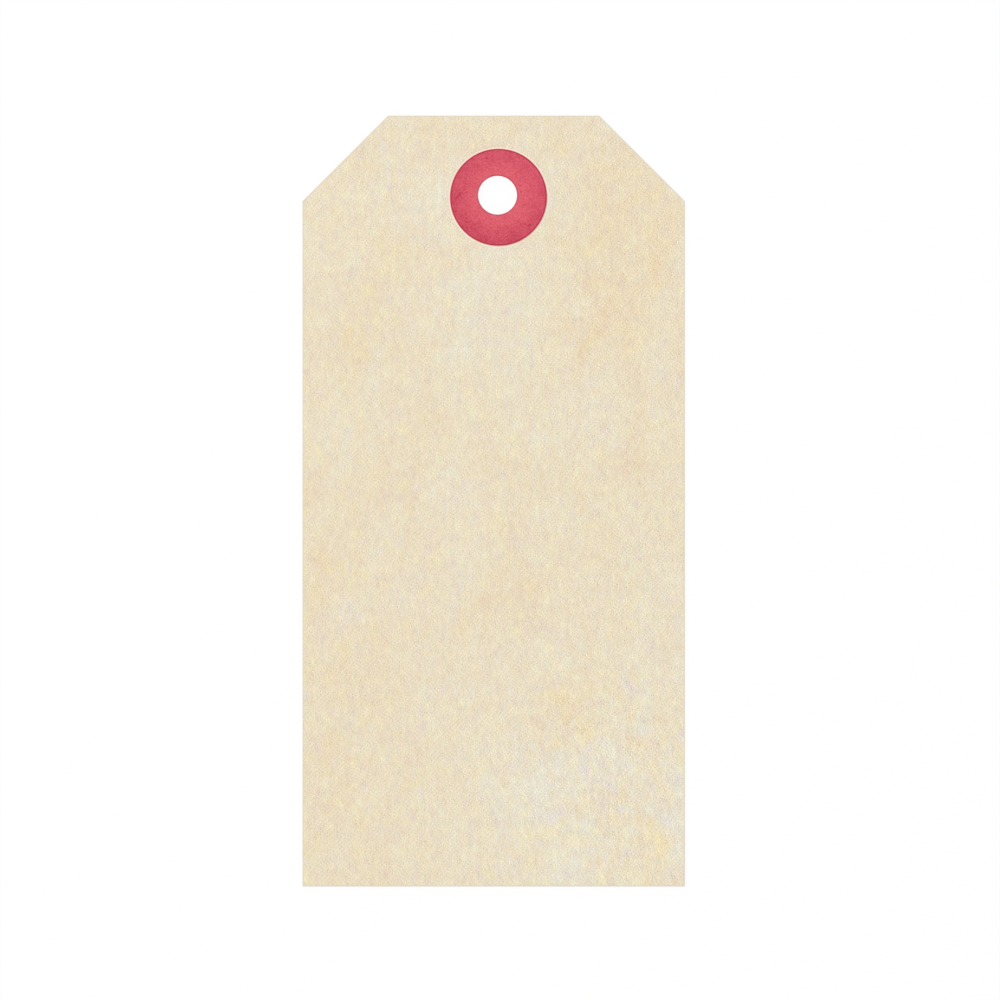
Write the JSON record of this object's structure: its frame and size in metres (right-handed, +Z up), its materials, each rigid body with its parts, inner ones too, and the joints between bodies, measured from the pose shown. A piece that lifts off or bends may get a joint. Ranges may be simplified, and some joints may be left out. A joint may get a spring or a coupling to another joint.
{
  "type": "paper tag",
  "caption": "Flat manila paper tag with clipped corners at one end and a round punched eyelet, reinforced by a red fibre patch on each face; it hangs on a string or wire.",
  "frame": {"origin": "under the middle of the card's length and width, on the surface that the tag lies on", "axes": "+X to the right across the card, +Y along the card towards the eyelet, +Z up out of the front face"},
  "size_m": [0.0598, 0.1206, 0.0008],
  "materials": {
    "manila_tag_stock": "matte",
    "red_patch_fibre": "matte",
    "dried_gum": "satin"
  },
  "bodies": {
    "root": {"tag_card": "manila_tag_stock", "front_patch": "red_patch_fibre", "front_patch_gum": "dried_gum", "rear_patch": "red_patch_fibre", "rear_patch_gum": "dried_gum"}
  },
  "joints": []
}
